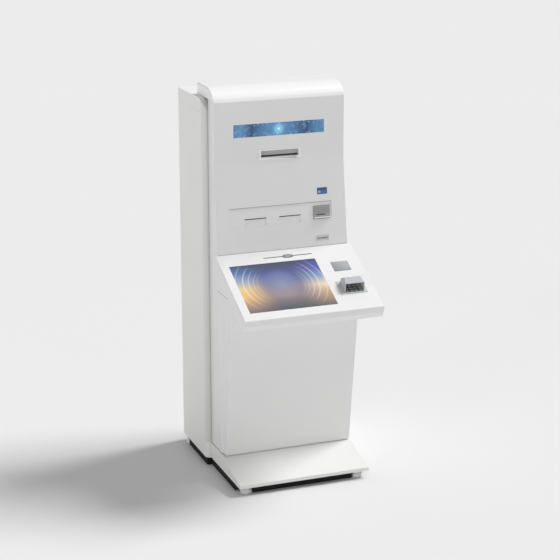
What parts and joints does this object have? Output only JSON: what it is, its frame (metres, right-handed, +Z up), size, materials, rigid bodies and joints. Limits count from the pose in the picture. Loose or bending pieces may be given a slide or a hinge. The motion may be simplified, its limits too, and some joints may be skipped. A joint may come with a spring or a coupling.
{
  "type": "bank self-service terminal",
  "caption": "Free-standing white bank self-service terminal with a sloping touch-screen console, hooded keypad, card and receipt slots, a lit banner, and hinged front and rear service access.",
  "frame": {"origin": "middle of the bounding box at floor level", "axes": "+Z up, -Y towards the standing user, +X to the user's right"},
  "size_m": [0.622, 0.805, 1.65],
  "materials": {
    "cabinet_paint": "white powder coat, fine texture",
    "front_paint": "white powder coat, smooth satin",
    "zinc_steel": "zinc plated",
    "bright_steel": "bright ground steel",
    "key_steel": "brushed, with grey digits",
    "light_grey_plastic": "fine moulded grain",
    "mid_grey_plastic": "satin moulded",
    "dark_plastic": "black, textured",
    "lit_banner": "back-lit acrylic",
    "screen": "lit display behind clear glass",
    "platen_rubber": "black rubber",
    "paper": "white thermal paper",
    "foot_plastic": "light grey ribbed"
  },
  "bodies": {
    "cabinet": {"left_side_panel": "cabinet_paint", "right_side_panel": "cabinet_paint", "roof_panel": "cabinet_paint", "cabinet_floor": "zinc_steel", "base_frame": "zinc_steel", "plinth_cover": "cabinet_paint", "rear_frame": "zinc_steel", "rear_hinge_rod": "bright_steel", "front_hinge_rod": "bright_steel", "computer": "dark_plastic", "power_supply": "zinc_steel"},
    "front_assembly": {"left_cheek": "front_paint", "right_cheek": "front_paint", "fascia_panel": "front_paint", "lower_cover": "front_paint", "support_rail": "front_paint", "console_lid": "front_paint", "console_tray": "front_paint", "banner_panel": "lit_banner", "banner_light_tray": "light_grey_plastic", "receipt_bezel": "light_grey_plastic", "receipt_printer": "dark_plastic", "slot_panel": "front_paint", "document_printer": "dark_plastic", "card_reader_bezel": "mid_grey_plastic", "card_reader": "dark_plastic", "token_slot_bezel": "light_grey_plastic", "light_bar": "mid_grey_plastic", "screen_glass": "screen", "display_panel": "dark_plastic", "contactless_reader": "mid_grey_plastic", "keypad_base": "light_grey_plastic", "keypad_hood": "mid_grey_plastic"},
    "rear_door": {"rear_door": "cabinet_paint"},
    "foot_front_left": {"foot_front_left": "foot_plastic"},
    "foot_front_right": {"foot_front_right": "foot_plastic"},
    "foot_rear_left": {"foot_rear_left": "foot_plastic"},
    "foot_rear_right": {"foot_rear_right": "foot_plastic"},
    "key_row1_column1": {"key_row1_column1": "key_steel"},
    "key_row1_column2": {"key_row1_column2": "key_steel"},
    "key_row1_column3": {"key_row1_column3": "key_steel"},
    "key_row1_column4": {"key_row1_column4": "key_steel"},
    "key_row2_column1": {"key_row2_column1": "key_steel"},
    "key_row2_column2": {"key_row2_column2": "key_steel"},
    "key_row2_column3": {"key_row2_column3": "key_steel"},
    "key_row2_column4": {"key_row2_column4": "key_steel"},
    "key_row3_column1": {"key_row3_column1": "key_steel"},
    "key_row3_column2": {"key_row3_column2": "key_steel"},
    "key_row3_column3": {"key_row3_column3": "key_steel"},
    "key_row3_column4": {"key_row3_column4": "key_steel"},
    "key_row4_column1": {"key_row4_column1": "key_steel"},
    "key_row4_column2": {"key_row4_column2": "key_steel"},
    "key_row4_column3": {"key_row4_column3": "key_steel"},
    "key_row4_column4": {"key_row4_column4": "key_steel"},
    "receipt_platen": {"receipt_platen": "platen_rubber"},
    "paper_roll": {"paper_roll": "paper"},
    "card_shutter": {"card_shutter": "bright_steel"},
    "computer_fan": {"computer_fan": "dark_plastic"},
    "front_lock": {"front_lock": "bright_steel"},
    "rear_lock": {"rear_lock": "bright_steel"}
  },
  "joints": [
    {"name": "front_assembly_swing", "type": "hinge", "parent": "cabinet", "child": "front_assembly", "pos_m": [-0.282, 0.0685, 0.8], "axis": [0, 0, -1], "range_deg": [0, 95]},
    {"name": "rear_door_swing", "type": "hinge", "parent": "cabinet", "child": "rear_door", "pos_m": [0.3, 0.3975, 0.8], "axis": [0, 0, -1], "range_deg": [0, 110]},
    {"name": "front_lock_turn", "type": "hinge", "parent": "front_assembly", "child": "front_lock", "pos_m": [0.288, 0.0165, 0.7], "axis": [1, 0, 0], "range_deg": [0, 90]},
    {"name": "rear_lock_turn", "type": "hinge", "parent": "rear_door", "child": "rear_lock", "pos_m": [-0.272, 0.4025, 0.9], "axis": [0, 1, 0], "range_deg": [0, 90]},
    {"name": "paper_roll_spin", "type": "hinge", "parent": "front_assembly", "child": "paper_roll", "pos_m": [0, 0.1205, 1.368], "axis": [1, 0, 0], "continuous": true},
    {"name": "receipt_platen_spin", "type": "hinge", "parent": "front_assembly", "child": "receipt_platen", "pos_m": [0, 0.0435, 1.3505], "axis": [1, 0, 0], "continuous": true},
    {"name": "card_shutter_lift", "type": "slide", "parent": "front_assembly", "child": "card_shutter", "axis": [0, 0.1204, 0.9927], "range_m": [0, 0.009]},
    {"name": "computer_fan_spin", "type": "hinge", "parent": "cabinet", "child": "computer_fan", "pos_m": [-0.195, 0.3445, 0.3], "axis": [0, 1, 0], "continuous": true},
    {"name": "foot_front_left_turn", "type": "hinge", "parent": "cabinet", "child": "foot_front_left", "pos_m": [-0.249, -0.2545, 0], "axis": [0, 0, 1], "continuous": true},
    {"name": "foot_front_right_turn", "type": "hinge", "parent": "cabinet", "child": "foot_front_right", "pos_m": [0.249, -0.2545, 0], "axis": [0, 0, 1], "continuous": true},
    {"name": "foot_rear_left_turn", "type": "hinge", "parent": "cabinet", "child": "foot_rear_left", "pos_m": [-0.2855, 0.3605, 0], "axis": [0, 0, 1], "continuous": true},
    {"name": "foot_rear_right_turn", "type": "hinge", "parent": "cabinet", "child": "foot_rear_right", "pos_m": [0.2855, 0.3605, 0], "axis": [0, 0, 1], "continuous": true},
    {"name": "key_row1_column1_press", "type": "slide", "parent": "front_assembly", "child": "key_row1_column1", "axis": [0, 0.4363, -0.8998], "range_m": [0, 0.0025], "stiffness_N_per_m": 800, "springref_m": -0.0015},
    {"name": "key_row1_column2_press", "type": "slide", "parent": "front_assembly", "child": "key_row1_column2", "axis": [0, 0.4363, -0.8998], "range_m": [0, 0.0025], "stiffness_N_per_m": 800, "springref_m": -0.0015},
    {"name": "key_row1_column3_press", "type": "slide", "parent": "front_assembly", "child": "key_row1_column3", "axis": [0, 0.4363, -0.8998], "range_m": [0, 0.0025], "stiffness_N_per_m": 800, "springref_m": -0.0015},
    {"name": "key_row1_column4_press", "type": "slide", "parent": "front_assembly", "child": "key_row1_column4", "axis": [0, 0.4363, -0.8998], "range_m": [0, 0.0025], "stiffness_N_per_m": 800, "springref_m": -0.0015},
    {"name": "key_row2_column1_press", "type": "slide", "parent": "front_assembly", "child": "key_row2_column1", "axis": [0, 0.4363, -0.8998], "range_m": [0, 0.0025], "stiffness_N_per_m": 800, "springref_m": -0.0015},
    {"name": "key_row2_column2_press", "type": "slide", "parent": "front_assembly", "child": "key_row2_column2", "axis": [0, 0.4363, -0.8998], "range_m": [0, 0.0025], "stiffness_N_per_m": 800, "springref_m": -0.0015},
    {"name": "key_row2_column3_press", "type": "slide", "parent": "front_assembly", "child": "key_row2_column3", "axis": [0, 0.4363, -0.8998], "range_m": [0, 0.0025], "stiffness_N_per_m": 800, "springref_m": -0.0015},
    {"name": "key_row2_column4_press", "type": "slide", "parent": "front_assembly", "child": "key_row2_column4", "axis": [0, 0.4363, -0.8998], "range_m": [0, 0.0025], "stiffness_N_per_m": 800, "springref_m": -0.0015},
    {"name": "key_row3_column1_press", "type": "slide", "parent": "front_assembly", "child": "key_row3_column1", "axis": [0, 0.4363, -0.8998], "range_m": [0, 0.0025], "stiffness_N_per_m": 800, "springref_m": -0.0015},
    {"name": "key_row3_column2_press", "type": "slide", "parent": "front_assembly", "child": "key_row3_column2", "axis": [0, 0.4363, -0.8998], "range_m": [0, 0.0025], "stiffness_N_per_m": 800, "springref_m": -0.0015},
    {"name": "key_row3_column3_press", "type": "slide", "parent": "front_assembly", "child": "key_row3_column3", "axis": [0, 0.4363, -0.8998], "range_m": [0, 0.0025], "stiffness_N_per_m": 800, "springref_m": -0.0015},
    {"name": "key_row3_column4_press", "type": "slide", "parent": "front_assembly", "child": "key_row3_column4", "axis": [0, 0.4363, -0.8998], "range_m": [0, 0.0025], "stiffness_N_per_m": 800, "springref_m": -0.0015},
    {"name": "key_row4_column1_press", "type": "slide", "parent": "front_assembly", "child": "key_row4_column1", "axis": [0, 0.4363, -0.8998], "range_m": [0, 0.0025], "stiffness_N_per_m": 800, "springref_m": -0.0015},
    {"name": "key_row4_column2_press", "type": "slide", "parent": "front_assembly", "child": "key_row4_column2", "axis": [0, 0.4363, -0.8998], "range_m": [0, 0.0025], "stiffness_N_per_m": 800, "springref_m": -0.0015},
    {"name": "key_row4_column3_press", "type": "slide", "parent": "front_assembly", "child": "key_row4_column3", "axis": [0, 0.4363, -0.8998], "range_m": [0, 0.0025], "stiffness_N_per_m": 800, "springref_m": -0.0015},
    {"name": "key_row4_column4_press", "type": "slide", "parent": "front_assembly", "child": "key_row4_column4", "axis": [0, 0.4363, -0.8998], "range_m": [0, 0.0025], "stiffness_N_per_m": 800, "springref_m": -0.0015}
  ]
}
